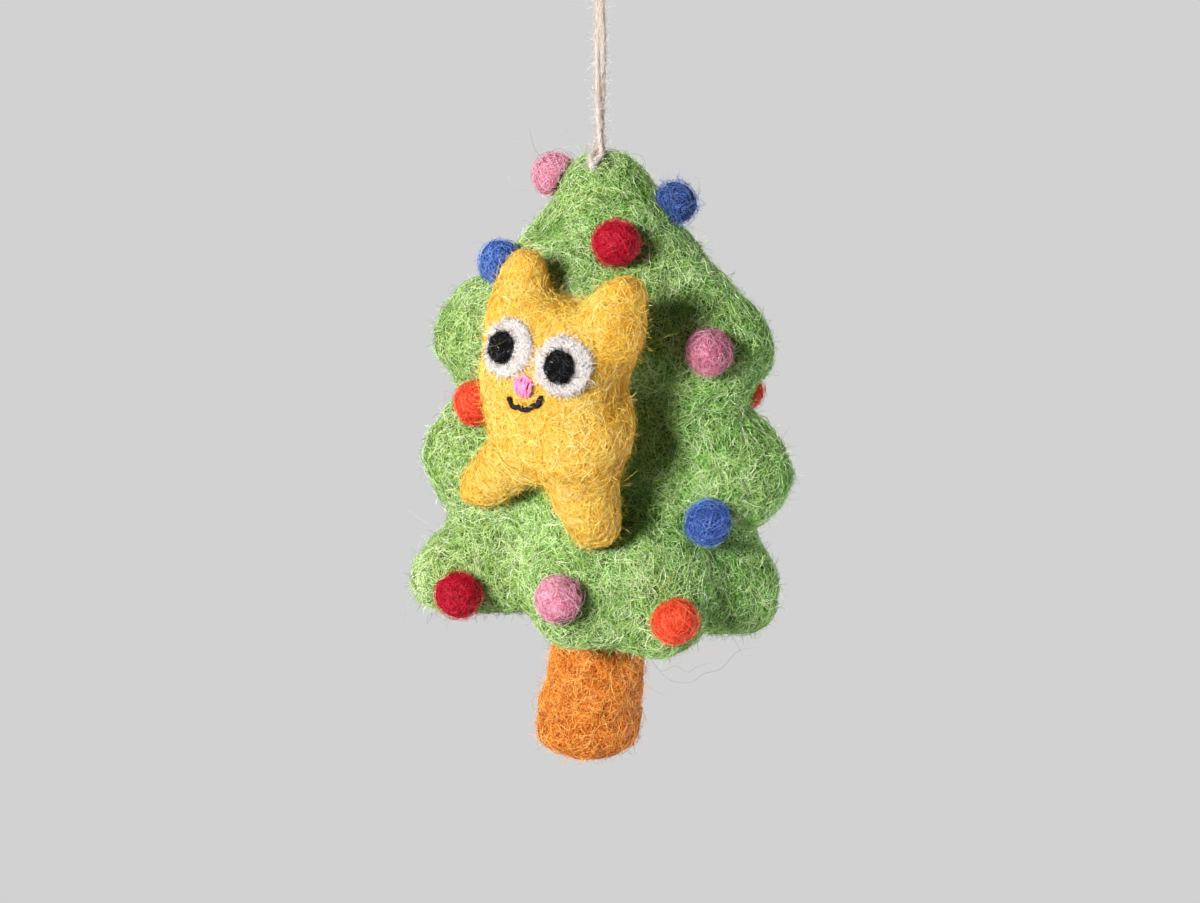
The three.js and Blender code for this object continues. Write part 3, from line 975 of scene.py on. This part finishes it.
# The smile, back stitched in dark yarn along its arc
smile_width = 7 * mm
smile_level = 0.75 * mm
smile_tilt = 1.6 * mm
smile_dip = 2.2 * mm
smile_ahead = 8 * mm
smile_step = 0.15 * mm
smile_stitches = 7
stitch_back_share = 0.25
stitch_on_share = 1.2
smile_lean_up = 0.42 * mm
smile_lean_down = 0.36 * mm
# How each stitch stands out: a share of its length, and its height there
smile_humps = [(0, 0), (0.2, 0.9 * mm), (0.5, 1.2 * mm), (0.8, 0.9 * mm), (1, 0)]
smile_share = 0.84
smile_growth_share = 0.26
smile_levels = [(16, 12, 13), (42, 32, 36), (70, 54, 58)]
smile_grain = 0.5 * mm
smile_relief = 0.06 * mm
smile_roughness = 0.7
cat_finder = Skin(cat).finder
smile_solid, _ = skin_points(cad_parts["cat_mouth"])
smile_middle = np.zeros(3)
for way in (cat_right, cat_up, cat_back):
    smile_middle = smile_middle + way * ((smile_solid @ way).min() + np.ptp(smile_solid @ way) / 2)


def smile_spot(share, aside, proud):
    """A place beside the smile's arc, at a share of it, out from the cat's felt."""
    turn = math.pi * share
    along = -math.cos(turn) / 2
    level = smile_level + smile_tilt * along - smile_dip * math.sin(turn) + aside
    start = smile_middle + cat_right * smile_width * along + cat_up * level - cat_back * smile_ahead
    hit = cat_finder.ray_cast(Vector(start), Vector(cat_back))[0]
    return np.array(hit) - cat_back * proud


smile_runs = []
for i in range(smile_stitches):
    start, end = (i - stitch_back_share) / smile_stitches, (i + stitch_on_share) / smile_stitches
    lean = smile_lean_up if i % 2 else -smile_lean_down
    rows = []
    for share, proud in smile_humps:
        place = min(max(start + (end - start) * share, 0), 1)
        rows.append(smile_spot(place, lean * (1 - 2 * share), proud))
    size = smile_share + smile_growth_share * i / smile_stitches
    smile_runs.append(yarn(smooth_path(rows, smile_step), size))
dark = mottled("smile_thread", smile_levels, smile_grain, smile_relief, smile_roughness)
stitched("stitched_smile", "cat_mouth", smile_runs, dark)

# The nose, stitched over its pad: places in mm across and above its middle, in each stitch's order
nose_stitches = [
    [(-1.55, 1.35), (-1.4, 0.2), (-0.85, -1.2), (-0.15, -2.05)],
    [(-1.05, 1.85), (-0.75, 0.6), (-0.2, -0.8), (0.3, -2.15)],
    [(-0.2, 0.9), (0, -0.3), (0.25, -1.3), (0.65, -2.25)],
    [(1.2, 1.6), (0.9, 0.4), (0.7, -0.9), (0.8, -2.15)],
    [(1.7, 0.7), (1.6, -0.3), (1.35, -1.3), (0.95, -2)],
    [(0.35, 1.55), (0.45, 0.3), (0.5, -0.9), (0.7, -2.1)],
    [(-0.5, 1.75), (-0.4, 0.6), (-0.1, -0.6), (0.4, -1.9)],
    [(-1.05, 0.9), (-0.85, 1.65), (0.1, 2.05), (0.95, 1.85), (1.55, 1)],
]
nose_height = 1.05
nose_fall = 0.16
nose_end_drop = 0.5
nose_step = 0.2 * mm
nose_share = 0.74
nose_levels = [(228, 92, 146), (250, 142, 186), (255, 184, 212)]
nose_grain = 0.5 * mm
nose_relief = 0.05 * mm
nose_roughness = 0.55
nose_low, nose_high = (np.array(corner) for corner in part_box("cat_nose"))
nose_middle = (nose_low + nose_high) / 2
nose_runs = []
for places in nose_stitches:
    rows = []
    for i, (aside, level) in enumerate(places):
        dome = nose_height - nose_fall * (aside**2 + level**2)
        if i in (0, len(places) - 1):
            dome -= nose_end_drop
        depth = -(cat_back[0] * aside + cat_back[2] * level) / cat_back[1]
        rows.append(nose_middle + (np.array((aside, depth, level)) - cat_back * dome) * mm)
    nose_runs.append(yarn(smooth_path(rows, nose_step), nose_share))
pink = mottled("nose_thread_pink", nose_levels, nose_grain, nose_relief, nose_roughness)
stitched("stitched_nose", "cat_nose", nose_runs, pink)

# Stray hairs beside the tree: a place in mm near the spot that each leaves, and its way
strays = np.array([
    (1.2, -0.6, -60, 1, -0.2, 0.6),
    (2.6, -0.5, -63.6, 0.6, -0.2, 0.8),
    (3.2, 0, -64, 1, -0.3, 0.25),
    (-3, -1, -65, -1, -0.2, 0.35),
    (12, -8, -171, 1, -0.2, -0.25),
    (14, -6, -170, 1, -0.1, -0.1),
    (16, -8, -168, 1, 0, 0),
    (22, -8, -166, 0.8, -0.2, -0.5),
    (-14, -10, -168, -0.8, -0.3, -0.7),
    (-34, -8, -160, -0.6, 0, -0.8),
    (-39, -4, -122, -1, -0.2, 0.3),
    (39, -3, -128, 1, -0.3, 0.3),
    (38, -3, -112, 0.9, -0.3, 0.6),
])
stray_form = {"slope": (1.4, 2.4), "length": (11 * mm, 21 * mm), "bend": 0.42, "spots": 34}
stray_radius = 0.03 * mm
rng = next_rng()
stray_roots, _ = Skin(tree, [trunk]).nearest(strays[:, :3] * mm)
stray_lines, stray_outs = free_wool(rng, stray_roots, unit(strays[:, 3:]), stray_form)

# Three longer hairs: how far behind the middle each starts, and its run across and up, all in mm
run_slant = 0.15
run_step = 0.1
stray_runs = [
    (
        -1.5,
        [
            (10.5, -172),
            (14.3, -176.8),
            (19, -177.9),
            (22.2, -176),
            (25.7, -175.1),
            (29.5, -171.3),
            (34.2, -170.7),
        ],
    ),
    (
        -1.5,
        [(9.5, -170.5), (12.7, -175.1), (16, -174.1), (18.6, -175.6), (21.1, -174.3), (24.5, -173.4)],
    ),
    (
        4.6,
        [(-10.5, -67.9), (-13.1, -65.2), (-14.1, -63.1), (-14.8, -59.7)],
    ),
]
for depth, run in stray_runs:
    rows = [(aside, depth + run_slant * aside, level) for aside, level in run]
    fine = smooth_path(rows, run_step) * mm
    line = fine[np.linspace(0, len(fine) - 1, stray_form["spots"]).astype(int)]
    stray_lines = np.concatenate([stray_lines, line[None]])
    stray_outs = np.concatenate([stray_outs, np.broadcast_to((0, -1, 0), (1, *line.shape))])
grey_tones = tones_of("stray_hair", (96, 100, 84), (132, 134, 118))
stray_radii = np.full(len(stray_lines), stray_radius)
stray_tones = rng.integers(0, len(grey_tones), len(stray_lines))
(stray_hair,) = fibre_pieces(
    "stray_hair",
    threads,
    stray_lines,
    stray_outs,
    stray_radii,
    stray_tones,
    grey_tones,
)
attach(stray_hair, "ornament")

# Light: each lamp's place in degrees to the right of the front and above it, its size and its power
middle = Vector((0, 0, -130 * mm))
lamp_distance = 1400 * mm
lamps = {
    "key_light": (-33, 15, 350 * mm, 33),
    "fill_light": (104, -26, 800 * mm, 17.5),
    "back_light": (180, 15, 900 * mm, 12),
    "bounce_light": (-60, -50, 900 * mm, 4),
}
for name, (right, above, size, power) in lamps.items():
    right, above = math.radians(right), math.radians(above)
    level = math.cos(above)
    way = Vector((math.sin(right) * level, -math.cos(right) * level, math.sin(above)))
    lamp = bpy.data.lights.new(name, "AREA")
    lamp.shape = "DISK"
    lamp.size = size
    lamp.energy = power
    light = bpy.data.objects.new(name, lamp)
    light.location = middle + lamp_distance * way
    light.rotation_euler = way.to_track_quat("Z", "Y").to_euler()
    scene.collection.objects.link(light)


def seen_directly(nodes, links):
    """An output that is 1 for what the camera sees, also in gloss or through glass."""
    seen = nodes.new("ShaderNodeLightPath")
    through = nodes.new("ShaderNodeMath")
    through.operation = "MAXIMUM"
    either = nodes.new("ShaderNodeMath")
    either.operation = "MAXIMUM"
    links.new(seen.outputs["Is Glossy Ray"], through.inputs[0])
    links.new(seen.outputs["Is Transmission Ray"], through.inputs[1])
    links.new(seen.outputs["Is Camera Ray"], either.inputs[0])
    links.new(through.outputs["Value"], either.inputs[1])
    return either.outputs["Value"]


# The wall, which is the world itself
wall_tone = linear(210, 210, 210)
fill_strength = 0.05
world = bpy.data.worlds.new("studio")
scene.world = world
world.use_nodes = True
nodes, links = world.node_tree.nodes, world.node_tree.links
nodes.clear()
wall = nodes.new("ShaderNodeBackground")
wall.inputs["Color"].default_value = wall_tone
fill = nodes.new("ShaderNodeBackground")
fill.inputs["Color"].default_value = (1, 1, 1, 1)
fill.inputs["Strength"].default_value = fill_strength
pick = nodes.new("ShaderNodeMixShader")
world_output = nodes.new("ShaderNodeOutputWorld")
links.new(seen_directly(nodes, links), pick.inputs["Fac"])
links.new(fill.outputs["Background"], pick.inputs[1])
links.new(wall.outputs["Background"], pick.inputs[2])
links.new(pick.outputs["Shader"], world_output.inputs["Surface"])

# The floor is nearly as pale as the wall, and keeps a part of the shadows that fall on it
floor_tone = linear(205, 205, 205)
floor_depth = 1400 * mm
floor_radius = 2500 * mm
floor_sides = 64
floor_glow = 0.85
turns = 2 * math.pi * np.arange(floor_sides) / floor_sides
level = np.full(floor_sides, -floor_depth)
rim = np.stack([floor_radius * np.cos(turns), floor_radius * np.sin(turns), level], axis=1)
spokes = [(0, 1 + i, 1 + (i + 1) % floor_sides) for i in range(floor_sides)]
floor_paint, floor_shader = material_of("floor_paint", floor_tone)
nodes, links = floor_paint.node_tree.nodes, floor_paint.node_tree.links
glow = nodes.new("ShaderNodeEmission")
glow.inputs["Color"].default_value = wall_tone
glow_share = nodes.new("ShaderNodeMath")
glow_share.operation = "MULTIPLY"
glow_share.inputs[1].default_value = floor_glow
mixed = nodes.new("ShaderNodeMixShader")
links.new(seen_directly(nodes, links), glow_share.inputs[0])
links.new(glow_share.outputs["Value"], mixed.inputs["Fac"])
links.new(floor_shader.outputs["BSDF"], mixed.inputs[1])
links.new(glow.outputs["Emission"], mixed.inputs[2])
links.new(mixed.outputs["Shader"], nodes["Material Output"].inputs["Surface"])
floor = new_mesh("floor", np.vstack([[(0, 0, -floor_depth)], rim]), spokes, materials=[floor_paint])
scene.view_settings.view_transform = "Standard"
